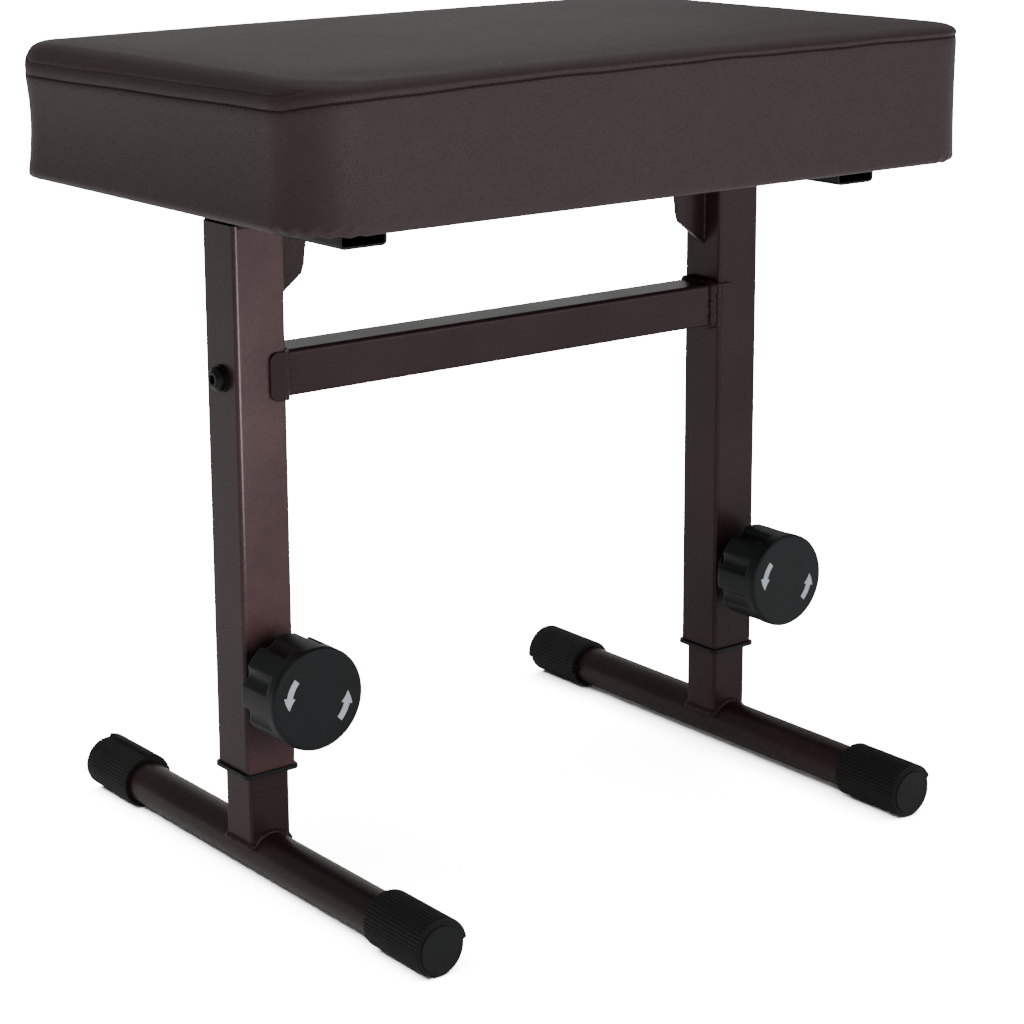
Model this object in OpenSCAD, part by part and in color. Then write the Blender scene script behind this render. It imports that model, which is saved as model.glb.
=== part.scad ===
// Height-adjustable keyboard bench: padded seat on two telescoping legs joined by a crossbar.
// Millimetres, +Z up, origin on the floor under the middle of the seat, knobs on the -Y side.
// The model stands at its lowest setting. "left" is the -X leg, "right" is the +X leg.

/* [Seat] */
// Length of the cushion, along X
seat_length = 480; // [440:5:560]
// Depth of the cushion, along Y
seat_depth = 320; // [290:5:340]
// Corner radius of the cushion in plan
seat_corner = 38; // [30:1:55]
// Thickness of the cushion, from its underside to the top of its crown
seat_thick = 82; // [70:1:95]
// Thickness of the plywood board in the cushion
board_thick = 12; // [9:1:15]
// Thickness of the leather skin
skin = 1.2; // [1:0.1:2]

/* [Heights at the lowest setting] */
// Floor to the underside of the cushion
seat_under = 402; // [390:1:430]
// Floor to the lower end of the outer tubes
outer_low = 68.5; // [60:0.5:75]
// Floor to the middle of the crossbar
bar_z = 299.3; // [290:0.1:330]
// Floor to the middle of the knobs
knob_z = 125; // [118:1:135]

/* [Height adjustment] */
// Distance between two adjusting holes
hole_pitch = 20; // [15:1:25]
// Number of adjusting holes in each inner tube
hole_count = 5; // [3:1:6]

/* [Tubes] */
// Distance between the middles of the two legs
leg_spacing = 360; // [330:5:380]
// Width of the square outer tube
outer_w = 33; // [32.5:0.5:34]
// Width of the square inner tube
inner_w = 27; // [26.5:0.1:27.5]
// Width of the square crossbar tube
bar_w = 27; // [25:0.1:28]
// Wall of every tube
wall = 1.5; // [1.2:0.1:2]

/* [Feet] */
// Overall length of a foot, caps included
foot_length = 360; // [330:5:420]
// Diameter of the round foot tube
foot_d = 26.2; // [25.4:0.1:26.6]
// Smallest outside radius of an end cap, which stands on the floor
cap_r = 16; // [15.5:0.1:18]
// Height of the step on an end cap's levelling cam
cap_step = 2.2; // [1:0.1:3]
// Length of an end cap
cap_length = 50.5; // [40:0.5:60]
// Number of ribs round an end cap
cap_ribs = 48; // [36:12:60]

/* [Knobs] */
// Diameter of a knob
knob_d = 60; // [52:1:64]
// Number of finger grooves round a knob
knob_grooves = 8; // [6:1:10]
// How far a knob pulls out
pull = 10; // [8:1:10]

/* [Hidden] */
$fn = 48;

leg_x = leg_spacing / 2;
eps = 0.01;                              // length of an overlap between shapes of one solid
run_gap = 0.05;                          // clearance of a sliding or turning fit

// Square tubes: corner radii
outer_r = 2.5;
inner_r = 2;

// Seat layers, from below
sheet_thick = 0.6;
lip_width = 26;                          // cover turned in under the board
lip_z = seat_under + sheet_thick;
board_z = lip_z + skin;
foam_z = board_z + board_thick;
seat_top = seat_under + seat_thick;
flat_inset = 62;                         // edge of the flat top, in from the side
layer_gap = 0.3;                         // between skin and filling

// Seat channels: box section, open at both ends
channel_w = 30;
channel_t = 1.5;
channel_r = 3;
channel_depth = 15;
channel_length = 236;
channel_z = seat_under - channel_depth;
access_d = 13;                           // hole in the lower web under each seat bolt
channel_bolt_y = 73;
gusset_bolt_x = leg_x - 52;
gusset_bolt_y = 11;
bolt_d = 6;
seat_bolt_at = concat(
    [for (x = [-leg_x, leg_x], y = [-channel_bolt_y, channel_bolt_y]) [x, y]],
    [for (x = [-gusset_bolt_x, gusset_bolt_x], y = [-gusset_bolt_y, gusset_bolt_y]) [x, y]]);

// Crossbar saddle
saddle_t = 2;
saddle_h = 28;
saddle_tab = 12;                         // how far its ears reach round the leg
bar_bolt_d = 8;
washer_t = 1.6;

// Sleeve at the lower end of the outer tube, and glide on top of the inner tube
ring_t = 2.5;
ring_out = 1.7;
sleeve_length = 36;
glide_top = bar_z - bar_bolt_d / 2 - run_gap;
glide_t = 3.9;
inner_top = glide_top - glide_t;
inner_hole_d = 8.8;
inner_low = cap_r + 6;                   // lower end of the inner tube, over the foot tube

// Pull pin, along -Y. Depths are counted from the front face of the outer tube
tube_face = outer_w / 2;
boss_d = 24;
boss_length = 12;
housing_d = 16;
housing_start = 1;
chamber_start = 4;
chamber_d = 12.2;
housing_end = 27;
retainer_t = 3;
pin_d = 8;
stem_d = 6;
collar_d = 12;
collar_t = 3;
nose_gap = 0.4;                          // from the nose to the inner tube
knob_start = 17;                         // rear face of the knob
knob_end = 50;                           // front face of the knob
hub_d = 24;
groove_end = knob_end - 8;

cap_y = foot_length / 2;
cap_disc = 1.5;                          // smooth disc proud of the ribbed end
cap_end_wall = 8;

// ---------------------------------------------------------------- outlines

// Square with round corners, centred
module round_square(w, r, d = undef) {
    h = is_undef(d) ? w : d;
    square([w - 2 * r, h], center = true);
    square([w, h - 2 * r], center = true);
    for (x = [-1, 1], y = [-1, 1])
        translate([x * (w / 2 - r), y * (h / 2 - r)]) circle(r);
}

// Square tube along Z with round corners
module square_tube(w, r, length) {
    linear_extrude(length) difference() {
        round_square(w, r);
        round_square(w - 2 * wall, max(r - wall, 0.5));
    }
}

// Bar of circular section along -Y, from depth a to depth b in front of the leg
module pin_bar(d, a, b) {
    translate([0, -tube_face - a, 0]) rotate([90, 0, 0]) cylinder(d = d, h = b - a);
}

// Puts a shape made for the leg at X = 0 on the left (-1) or right (1) leg
module on_leg(side) {
    translate([side * leg_x, 0, 0]) children();
}

// Same, for a shape whose +X side faces the other leg
module facing_in(side) {
    on_leg(side) mirror([side > 0 ? 1 : 0, 0, 0]) children();
}

// ---------------------------------------------------------------- seat

// Ring of points round the cushion's plan outline, shrunk by inset, at height z
corner_steps = 9;
function cushion_ring(inset, z) =
    let (r = max(seat_corner - inset, 6), x = seat_length / 2 - inset - r, y = seat_depth / 2 - inset - r)
    [for (q = [0 : 3], i = [0 : corner_steps])
        let (a = 90 * (q + i / corner_steps), sx = q == 0 || q == 3 ? 1 : -1, sy = q < 2 ? 1 : -1)
        [sx * x + r * cos(a), sy * y + r * sin(a), z]];

// Closed solid through a list of [inset, z] rings, lowest first
module cushion_loft(rings) {
    count = 4 * (corner_steps + 1);
    last = (len(rings) - 1) * count;
    polyhedron(
        [for (r = rings) each cushion_ring(r[0], r[1])],
        concat([[for (i = [0 : count - 1]) i]], [[for (i = [0 : count - 1]) last + count - 1 - i]],
            [for (k = [0 : len(rings) - 2], i = [0 : count - 1], half = [0, 1])
                let (a = k * count + i, b = k * count + (i + 1) % count)
                half == 0 ? [a, a + count, b] : [b, a + count, b + count]]));
}

// Crowned top of the cushion, all of it set in by inset, as [inset, z] rings
function crown(inset) =
    let (top = seat_top - inset)
    [[inset, top - 15], [inset + 2, top - 9], [inset + 7, top - 4.5], [inset + 16, top - 2.5],
     [inset + 36, top - 0.8], [inset + flat_inset, top]];

// Cushion form with a soft lower edge at z0
module cushion_form(inset, z0) {
    cushion_loft(concat([[inset + 5, z0], [inset + 1.5, z0 + 3], [inset, z0 + 8]], crown(inset)));
}

module seat_cover() {
    color("#3c3232") difference() {
        cushion_form(0, lip_z);
        cushion_form(skin, board_z);
        translate([0, 0, lip_z - 1]) linear_extrude(skin + 2)
            round_square(seat_length - 2 * lip_width, 20, seat_depth - 2 * lip_width);
    }
}

module seat_foam() {
    color("#d8cfa6") difference() {
        cushion_loft(concat([[skin + layer_gap, foam_z]], crown(skin + layer_gap)));
        for (p = seat_bolt_at) translate([p.x, p.y, foam_z - 1]) cylinder(d = 20, h = 3);
    }
}

module seat_board() {
    inset = 9;
    color("#b48a5a") difference() {
        translate([0, 0, board_z]) linear_extrude(board_thick)
            round_square(seat_length - 2 * inset, seat_corner - inset, seat_depth - 2 * inset);
        for (p = seat_bolt_at) translate([p.x, p.y, board_z - 1]) cylinder(d = 7.6, h = board_thick + 2);
    }
}

module dust_cover() {
    inset = 14;
    color("#202020") difference() {
        translate([0, 0, seat_under]) linear_extrude(sheet_thick)
            round_square(seat_length - 2 * inset, seat_corner - inset, seat_depth - 2 * inset);
        for (p = seat_bolt_at) translate([p.x, p.y, seat_under - 1]) cylinder(d = 7.6, h = 3);
    }
}

// One row of staple crowns under the edge of the dust cover, along X, centred
module staple_row(length, count) {
    for (i = [0 : count - 1])
        translate([-length / 2 + i * length / (count - 1), 0, 0])
            linear_extrude(0.7) square([10, 1.2], center = true);
}

module cover_staples() {
    edge = 19;
    color("silver") translate([0, 0, seat_under - 0.7]) {
        for (s = [-1, 1]) {
            translate([0, s * (seat_depth / 2 - edge), 0]) staple_row(380, 12);
            translate([s * (seat_length / 2 - edge), 0, 0]) rotate([0, 0, 90]) staple_row(220, 8);
        }
    }
}

// Tee nut: barrel up through the board, flange on top of it
module tee_nuts() {
    color("silver") for (p = seat_bolt_at) translate([p.x, p.y, board_z + 2]) difference() {
        union() {
            cylinder(d = 7.6, h = board_thick - 2);
            translate([0, 0, board_thick - 2]) cylinder(d = 18, h = 1.5);
        }
        translate([0, 0, -1]) cylinder(d = bolt_d, h = board_thick + 4);
    }
}

// Pan head bolts up through the channels and gussets into the tee nuts
module seat_bolts() {
    flange_low = seat_under - channel_t;
    head_h = 3.4;
    color("#2a2a2a") for (p = seat_bolt_at) translate([p.x, p.y, flange_low]) difference() {
        union() {
            cylinder(d = bolt_d, h = channel_t + sheet_thick + skin + board_thick - 1);
            translate([0, 0, -head_h]) cylinder(d = 11.4, h = head_h);
        }
        translate([0, 0, -head_h - eps]) cylinder(d = 4.6, h = 2, $fn = 6);
    }
}

// ---------------------------------------------------------------- seat supports

// Box channel along Y. Each seat bolt goes up through its upper web and is reached from below
module channel(side) {
    middle_z = seat_under - channel_depth / 2;
    color("#1c1b1b") on_leg(side) difference() {
        translate([0, channel_length / 2, middle_z]) rotate([90, 0, 0]) linear_extrude(channel_length)
            difference() {
                round_square(channel_w, channel_r, channel_depth);
                round_square(channel_w - 2 * channel_t, channel_r - channel_t, channel_depth - 2 * channel_t);
            }
        for (y = [-channel_bolt_y, channel_bolt_y]) {
            translate([0, y, channel_z - 1]) cylinder(d = access_d, h = channel_depth / 2);
            translate([0, y, middle_z]) cylinder(d = bolt_d + 0.6, h = channel_depth);
        }
    }
}

// Stamped gusset: upright plate on the leg's inner face, and a tab bolted under the seat
module gusset(side) {
    plate_t = 3;
    face = outer_w / 2;
    tab_low = seat_under - channel_t;
    tab_start = channel_w / 2 + 1;
    tab_end = 64;
    tab_w = 2 * gusset_bolt_y + 12;
    flare_r = 43;
    color("#332a2a") facing_in(side) {
        translate([0, plate_t / 2, 0]) rotate([90, 0, 0]) linear_extrude(plate_t) difference() {
            polygon([[face, seat_under - 65], [face + 21, seat_under - 49], [face + 23, seat_under - 43],
                [tab_end, seat_under - 43], [tab_end, tab_low], [face, tab_low]]);
            translate([face + 23 + flare_r, seat_under - 43]) circle(flare_r);
        }
        difference() {
            translate([tab_start, -tab_w / 2, tab_low]) cube([tab_end - tab_start, tab_w, channel_t]);
            for (y = [-gusset_bolt_y, gusset_bolt_y])
                translate([leg_x - gusset_bolt_x, y, tab_low - 1]) cylinder(d = bolt_d + 0.6, h = 4);
        }
    }
}

// ---------------------------------------------------------------- legs

// Outer tube with the hole for the lock pin in front and the crossbar bolt holes
module outer_tube(side) {
    color("#3a2e2e") facing_in(side) difference() {
        translate([0, 0, outer_low]) square_tube(outer_w, outer_r, channel_z - outer_low);
        translate([0, 0, knob_z]) pin_bar(pin_d + 0.4, -wall - 1, 1);
        translate([-outer_w, 0, bar_z]) rotate([0, 90, 0]) cylinder(d = bar_bolt_d + 0.2, h = 2 * outer_w);
    }
}

// Guide sleeve pressed into the lower end of the outer tube, with a ring below it
module guide_sleeve(side) {
    bore = inner_w + 2 * run_gap;
    color("#1c1c1d") on_leg(side) translate([0, 0, outer_low]) difference() {
        union() {
            translate([0, 0, -ring_t]) linear_extrude(ring_t) round_square(outer_w + 2 * ring_out, 4);
            linear_extrude(sleeve_length) round_square(outer_w - 2 * wall, outer_r - wall);
        }
        translate([0, 0, -ring_t - 1]) linear_extrude(sleeve_length + ring_t + 2)
            round_square(bore, inner_r + run_gap);
    }
}

// Inner tube, fitted over the foot tube at its lower end, with the adjusting holes in front
module inner_tube(side) {
    color("#3a2e2e") on_leg(side) difference() {
        translate([0, 0, inner_low]) square_tube(inner_w, inner_r, inner_top - inner_low);
        translate([0, foot_length / 2, cap_r]) rotate([90, 0, 0]) cylinder(d = foot_d, h = foot_length);
        for (i = [0 : hole_count - 1])
            translate([0, 0, knob_z + i * hole_pitch]) pin_bar(inner_hole_d, -outer_w / 2, -1);
    }
}

// Plastic glide: plate that fills the outer tube, and a spigot in the inner tube
module top_glide(side) {
    color("#1c1c1d") on_leg(side) {
        translate([0, 0, inner_top]) linear_extrude(glide_t)
            round_square(outer_w - 2 * wall - 2 * run_gap, outer_r - wall + 0.4);
        translate([0, 0, inner_top - 16]) linear_extrude(16 + eps)
            round_square(inner_w - 2 * wall, inner_r - wall);
    }
}

module foot_tube(side) {
    tube_length = foot_length - 2 * cap_end_wall;
    color("#3a2e2e") on_leg(side) translate([0, tube_length / 2, cap_r]) rotate([90, 0, 0]) difference() {
        cylinder(d = foot_d, h = tube_length);
        translate([0, 0, -1]) cylinder(d = foot_d - 2 * wall, h = tube_length + 2);
    }
}

// ---------------------------------------------------------------- levelling end caps

cam_span = 165;                          // turn over which the cam rises to its step
rib_depth = 0.5;

// Outside radius of a cap at angle t after the step: a cam that falls back to the round, with ribs
function cam_radius(t, rib) =
    cap_r + cap_step * max(0, 1 - (t % 360) / cam_span) - (rib % 2 == 1 ? rib_depth : 0);

// Cap in its own frame: axis along Z, open end at 0, step at angle 0, cam falling anticlockwise
module cap_body() {
    half_pitch = 180 / cap_ribs;
    soft = 2;
    shell = cap_length - cap_disc;
    difference() {
        union() {
            linear_extrude(shell) polygon([for (i = [0 : 2 * cap_ribs - 1])
                cam_radius(i * half_pitch, i) * [cos(i * half_pitch), sin(i * half_pitch)]]);
            translate([0, 0, shell - eps]) rotate_extrude() {
                square([cap_r - 0.8 - soft, cap_disc + eps]);
                square([cap_r - 0.8, cap_disc + eps - 1]);
            }
        }
        translate([0, 0, -1]) cylinder(d = foot_d + 2 * run_gap, h = cap_length - cap_end_wall + 1 + run_gap);
    }
}

// Cap on the end of a foot: step_at is where its step stands, anticlockwise from +X seen from the front
module end_cap(side, end, step_at) {
    color("#1c1d1c") on_leg(side) translate([0, 0, cap_r])
        if (end == "front")
            translate([0, -cap_y + cap_length, 0]) rotate([90, 0, 0]) rotate([0, 0, step_at]) cap_body();
        else
            translate([0, cap_y - cap_length, 0]) rotate([-90, 0, 0]) rotate([0, 0, -step_at]) cap_body();
}

// ---------------------------------------------------------------- crossbar

bar_length = leg_spacing - outer_w - 2 * saddle_t;

module crossbar() {
    color("#3a2e2e") translate([-bar_length / 2, 0, bar_z]) rotate([0, 90, 0])
        square_tube(bar_w, outer_r, bar_length);
}

// Sheet saddle: base on the leg's inner face, ears round its front and back faces
module saddle(side) {
    base_x = outer_w / 2;
    reach = saddle_tab + saddle_t;
    wide = outer_w + 2 * saddle_t;
    ear_r = 5;
    color("#3a2e2e") facing_in(side) translate([0, 0, bar_z]) difference() {
        intersection() {
            translate([base_x + saddle_t - reach, 0, -saddle_h / 2]) linear_extrude(saddle_h) difference() {
                union() {
                    translate([0, -wide / 2]) square([reach - 4, wide]);
                    translate([0, -wide / 2 + 4]) square([reach, wide - 8]);
                    for (y = [-1, 1]) translate([reach - 4, y * (wide / 2 - 4)]) circle(4);
                }
                translate([-1, -outer_w / 2]) square([reach - saddle_t + 1, outer_w]);
            }
            translate([base_x + saddle_t - reach, wide, 0]) rotate([90, 0, 0]) linear_extrude(2 * wide) {
                translate([0, -saddle_h / 2 + ear_r]) square([reach, saddle_h - 2 * ear_r]);
                translate([ear_r, -saddle_h / 2]) square([reach - ear_r, saddle_h]);
                for (z = [-1, 1]) translate([ear_r, z * (saddle_h / 2 - ear_r)]) circle(ear_r);
            }
        }
        rotate([0, 90, 0]) cylinder(d = bar_bolt_d + 0.2, h = outer_w);
    }
}

// Button head bolts through the legs into the nuts inside the crossbar
module crossbar_bolts() {
    seat = outer_w / 2 + washer_t;
    grip = outer_w + washer_t + saddle_t + 7.5;
    head_h = 4.4;
    color("#1a1a1a") for (side = [-1, 1]) facing_in(side) translate([-seat, 0, bar_z]) rotate([0, 90, 0])
        difference() {
            union() {
                cylinder(d = bar_bolt_d, h = grip);
                translate([0, 0, -head_h / 2]) cylinder(d = 14, h = head_h / 2);
                translate([0, 0, -head_h]) cylinder(d1 = 8.5, d2 = 14, h = head_h / 2 + eps);
            }
            translate([0, 0, -head_h - eps]) cylinder(d = 5.8, h = 2.6, $fn = 6);
        }
}

module crossbar_washers() {
    color("#1a1a1a") for (side = [-1, 1]) facing_in(side)
        translate([-outer_w / 2 - washer_t, 0, bar_z]) rotate([0, 90, 0]) difference() {
            cylinder(d = 16, h = washer_t);
            translate([0, 0, -1]) cylinder(d = bar_bolt_d, h = washer_t + 2);
        }
}

module crossbar_nuts() {
    color("silver") for (side = [-1, 1]) facing_in(side)
        translate([outer_w / 2 + saddle_t, 0, bar_z]) rotate([0, 90, 0]) difference() {
            cylinder(d = 15, h = 6.5, $fn = 6);
            translate([0, 0, -1]) cylinder(d = bar_bolt_d, h = 9);
        }
}

// ---------------------------------------------------------------- pull pins and knobs

module boss(side) {
    color("#3a2e2e") on_leg(side) translate([0, 0, knob_z]) difference() {
        pin_bar(boss_d, 0, boss_length);
        pin_bar(housing_d + 2 * run_gap, -1, boss_length + 1);
    }
}

// Screw-in housing with the spring chamber, its flange in front of the boss
module pin_housing(side) {
    color("#8f9092") on_leg(side) translate([0, 0, knob_z]) difference() {
        union() {
            pin_bar(housing_d, housing_start, boss_length + 1);
            pin_bar(22, boss_length + 0.3, boss_length + 3.5);
            pin_bar(14.6, boss_length + 3, housing_end);
        }
        pin_bar(pin_d + 2 * run_gap, 0, chamber_start + 1);
        pin_bar(chamber_d, chamber_start, housing_end + 1);
    }
}

module spring_retainer(side) {
    color("#8f9092") on_leg(side) translate([0, 0, knob_z]) difference() {
        union() {
            pin_bar(chamber_d, housing_end - retainer_t, housing_end);
            pin_bar(14.6, housing_end, housing_end + 1);
        }
        pin_bar(stem_d + 2 * run_gap, 0, housing_end + 2);
    }
}

// Coil spring between the pin's collar and the retainer: a ring of points carried along a helix
spring_turns = 6;
spring_wire = 1.1;
spring_r = 4.7;
spring_start = chamber_start + collar_t + 0.1 + spring_wire / 2 + 0.05;
spring_end = housing_end - retainer_t - spring_wire / 2 - 0.05;
spring_sides = 8;
spring_steps = spring_turns * 14;
spring_points = [for (i = [0 : spring_steps], j = [0 : spring_sides - 1])
    let (turn = 360 * spring_turns * i / spring_steps,
         along = spring_start + (spring_end - spring_start) * i / spring_steps,
         r = spring_r + spring_wire / 2 * cos(360 * j / spring_sides),
         d = along + spring_wire / 2 * sin(360 * j / spring_sides))
    [r * cos(turn), -tube_face - d, r * sin(turn)]];
spring_faces = concat(
    [[for (j = [0 : spring_sides - 1]) j]],
    [[for (j = [0 : spring_sides - 1]) spring_steps * spring_sides + spring_sides - 1 - j]],
    [for (i = [0 : spring_steps - 1], j = [0 : spring_sides - 1])
        [i * spring_sides + j, (i + 1) * spring_sides + j,
         (i + 1) * spring_sides + (j + 1) % spring_sides, i * spring_sides + (j + 1) % spring_sides]]);

module pin_spring(side) {
    color("#b0b2b4") on_leg(side) translate([0, 0, knob_z]) polyhedron(spring_points, spring_faces);
}

module lock_pin(side) {
    nose = -(tube_face - inner_w / 2 - nose_gap);
    color("#b0b2b4") on_leg(side) translate([0, 0, knob_z]) {
        pin_bar(pin_d, nose, chamber_start + 0.2);
        pin_bar(collar_d, chamber_start + 0.1, chamber_start + 0.1 + collar_t);
        pin_bar(stem_d, chamber_start + 1, knob_end - 8);
    }
}

// Knob: smooth round rim in front, finger grooves cut from behind, hollow behind with four webs
module knob(side) {
    rim = 2;
    depth = knob_end - knob_start;
    groove_d = 13;
    groove_at = knob_d / 2 + 3.6;
    pocket_d = knob_d - 13;
    pocket_depth = 21;
    color("#242527") on_leg(side) translate([0, -tube_face - knob_start, knob_z]) rotate([90, 0, 0]) difference() {
        union() {
            difference() {
                rotate_extrude() {
                    square([knob_d / 2, depth - rim]);
                    square([knob_d / 2 - rim, depth]);
                    translate([knob_d / 2 - rim, depth - rim]) circle(rim);
                }
                translate([0, 0, -1]) cylinder(d = pocket_d, h = pocket_depth + 1);
                for (i = [0 : knob_grooves - 1]) rotate([0, 0, (i + 0.5) * 360 / knob_grooves])
                    translate([groove_at, 0, -1]) cylinder(d = groove_d, h = groove_end - knob_start + 1);
            }
            cylinder(d = hub_d, h = pocket_depth + 1);
            for (a = [45, 135]) rotate([0, 0, a]) translate([-pocket_d / 2 - 1, -1.2, 4])
                cube([pocket_d + 2, 2.4, pocket_depth - 3]);
        }
        translate([0, 0, -1]) cylinder(d = 16, h = housing_end - knob_start + 4);
        cylinder(d = stem_d, h = depth - 8);
    }
}

// ---------------------------------------------------------------- nodes

seat_cover();
seat_foam();
seat_board();
dust_cover();
cover_staples();
tee_nuts();
seat_bolts();
channel(-1);  // left_channel
channel(1);  // right_channel
gusset(-1);  // left_gusset
gusset(1);  // right_gusset
outer_tube(-1);  // left_outer_tube
outer_tube(1);  // right_outer_tube
crossbar();
saddle(-1);  // left_saddle
saddle(1);  // right_saddle
crossbar_bolts();
crossbar_washers();
crossbar_nuts();
guide_sleeve(-1);  // left_guide_sleeve
guide_sleeve(1);  // right_guide_sleeve
inner_tube(-1);  // left_inner_tube
inner_tube(1);  // right_inner_tube
top_glide(-1);  // left_top_glide
top_glide(1);  // right_top_glide
foot_tube(-1);  // left_foot_tube
foot_tube(1);  // right_foot_tube
end_cap(-1, "front", 7.5);  // left_front_cap
end_cap(-1, "rear", 82.5);  // left_rear_cap
end_cap(1, "front", 22.5);  // right_front_cap
end_cap(1, "rear", 187.5);  // right_rear_cap
boss(-1);  // left_boss
boss(1);  // right_boss
pin_housing(-1);  // left_pin_housing
pin_housing(1);  // right_pin_housing
spring_retainer(-1);  // left_spring_retainer
spring_retainer(1);  // right_spring_retainer
pin_spring(-1);  // left_pin_spring
pin_spring(1);  // right_pin_spring
lock_pin(-1);  // left_lock_pin
lock_pin(1);  // right_lock_pin
knob(-1);  // left_knob
knob(1);  // right_knob
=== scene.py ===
"""Looks of the height-adjustable keyboard bench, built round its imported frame.

Laid out as an add-on: property groups hold the sizes and colours, one operator builds each group of
pieces, and a panel in the sidebar lists them. Metres, +Z up, knobs on the -Y side, "left" is the -X leg.
"""

import math

import bmesh
import bpy
import numpy as np
from bpy.props import FloatProperty, FloatVectorProperty, IntProperty, PointerProperty
from mathutils import Matrix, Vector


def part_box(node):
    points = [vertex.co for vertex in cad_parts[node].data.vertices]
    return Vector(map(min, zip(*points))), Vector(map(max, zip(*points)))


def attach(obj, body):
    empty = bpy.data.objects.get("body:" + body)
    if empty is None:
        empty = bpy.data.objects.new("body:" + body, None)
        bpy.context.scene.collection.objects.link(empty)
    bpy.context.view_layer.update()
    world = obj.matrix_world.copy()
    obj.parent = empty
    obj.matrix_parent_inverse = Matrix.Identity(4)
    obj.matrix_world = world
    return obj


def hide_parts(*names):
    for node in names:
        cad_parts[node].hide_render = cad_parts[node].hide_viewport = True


bl_info = {
    "name": "Keyboard Bench",
    "version": (1, 0, 0),
    "blender": (4, 5, 0),
    "location": "View3D > Sidebar > Bench",
    "description": "Cushion, stitching, weld beads, knob marks and finishes of a height-adjustable bench",
    "category": "Object",
}

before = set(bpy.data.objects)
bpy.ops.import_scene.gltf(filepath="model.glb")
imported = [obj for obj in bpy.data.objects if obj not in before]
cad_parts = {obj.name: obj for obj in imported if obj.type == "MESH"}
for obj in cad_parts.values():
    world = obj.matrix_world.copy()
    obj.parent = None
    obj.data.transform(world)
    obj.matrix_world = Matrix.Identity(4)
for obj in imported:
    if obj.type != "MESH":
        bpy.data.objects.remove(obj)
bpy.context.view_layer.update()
MM = 0.001


def box_of(node):
    """Lowest and highest corner of a frame node, as two arrays."""
    low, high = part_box(node)
    return np.array(low), np.array(high)


COVER_LOW, COVER_HIGH = box_of("seat_cover")
SIDES = ("left", "right")


# ---------------------------------------------------------------- surfaces

def new_object(name, points, faces):
    """A mesh object from whole arrays of points and faces, linked to the scene."""
    mesh = bpy.data.meshes.new(name)
    faces = faces if isinstance(faces, list) else faces.tolist()
    mesh.from_pydata(np.reshape(points, (-1, 3)).tolist(), [], faces)
    made = bpy.data.objects.new(name, mesh)
    bpy.context.scene.collection.objects.link(made)
    return made


def shade(piece, smooth):
    """Makes every face of a piece smooth, or every face flat."""
    piece.data.polygons.foreach_set("use_smooth", np.full(len(piece.data.polygons), smooth))
    piece.data.update()


def add_piece(name, points, faces, body, material, smooth=True):
    """Makes a visible piece that rides on a body."""
    piece = new_object(name, points, faces)
    shade(piece, smooth)
    piece.data.materials.append(material)
    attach(piece, body)
    return piece


def read_points(mesh):
    """Places of a mesh's points, as one array."""
    flat = np.empty(len(mesh.vertices) * 3)
    mesh.vertices.foreach_get("co", flat)
    return flat.reshape(-1, 3)


def grid_faces(rows, columns, wrap_rows=False, wrap_columns=False):
    """Quads of a grid of points stored row by row; a wrapped direction joins its last line to its first."""
    r = np.arange(rows if wrap_rows else rows - 1)[:, None]
    c = np.arange(columns if wrap_columns else columns - 1)[None, :]
    r2, c2 = (r + 1) % rows, (c + 1) % columns
    quads = np.stack([r * columns + c, r * columns + c2, r2 * columns + c2, r2 * columns + c], -1)
    return quads.reshape(-1, 4)


def merge_doubles(piece, distance=1e-6, smooth=True):
    """Joins coincident points, so that poles and seams are closed, and turns every face outwards."""
    work = bmesh.new()
    work.from_mesh(piece.data)
    bmesh.ops.remove_doubles(work, verts=work.verts, dist=distance)
    bmesh.ops.dissolve_degenerate(work, edges=work.edges, dist=distance / 10)
    bmesh.ops.recalc_face_normals(work, faces=work.faces)
    work.to_mesh(piece.data)
    work.free()
    shade(piece, smooth)


def rounded_outline(half_x, half_y, radius, count):
    """Points and outward normals of a rectangle with round corners, evenly spaced by arc length.

    The outline is four straight sides and four quarter circles, walked anticlockwise from the +X side.
    """
    sx, sy, arc = 2 * (half_x - radius), 2 * (half_y - radius), math.pi * radius / 2
    lengths = np.array([sy, arc, sx, arc, sy, arc, sx, arc])
    ends = np.cumsum(lengths)
    s = np.arange(count) * ends[-1] / count
    part = np.searchsorted(ends, s, side="right")
    along = s - (ends[part] - lengths[part])
    quarter, straight = part // 2, part % 2 == 0
    turn = quarter * math.pi / 2 + np.where(straight, 0, along / radius)
    normal = np.stack([np.cos(turn), np.sin(turn)], -1)
    corner = np.array([[1, 1], [-1, 1], [-1, -1], [1, -1]]) * [half_x - radius, half_y - radius]
    start = np.roll(corner, 1, axis=0)
    tangent = np.stack([-normal[:, 1], normal[:, 0]], -1)
    on_side = start[quarter] + radius * normal + tangent * along[:, None]
    on_corner = corner[quarter] + radius * normal
    return np.where(straight[:, None], on_side, on_corner), normal


def grid_normals(points):
    """Unit normals of a grid of points whose columns wrap round, from the cross product of its two slopes."""
    du = np.roll(points, -1, axis=1) - np.roll(points, 1, axis=1)
    dv = np.gradient(points, axis=0)
    n = np.cross(du, dv)
    return n / np.maximum(np.linalg.norm(n, axis=-1, keepdims=True), 1e-12)


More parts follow.
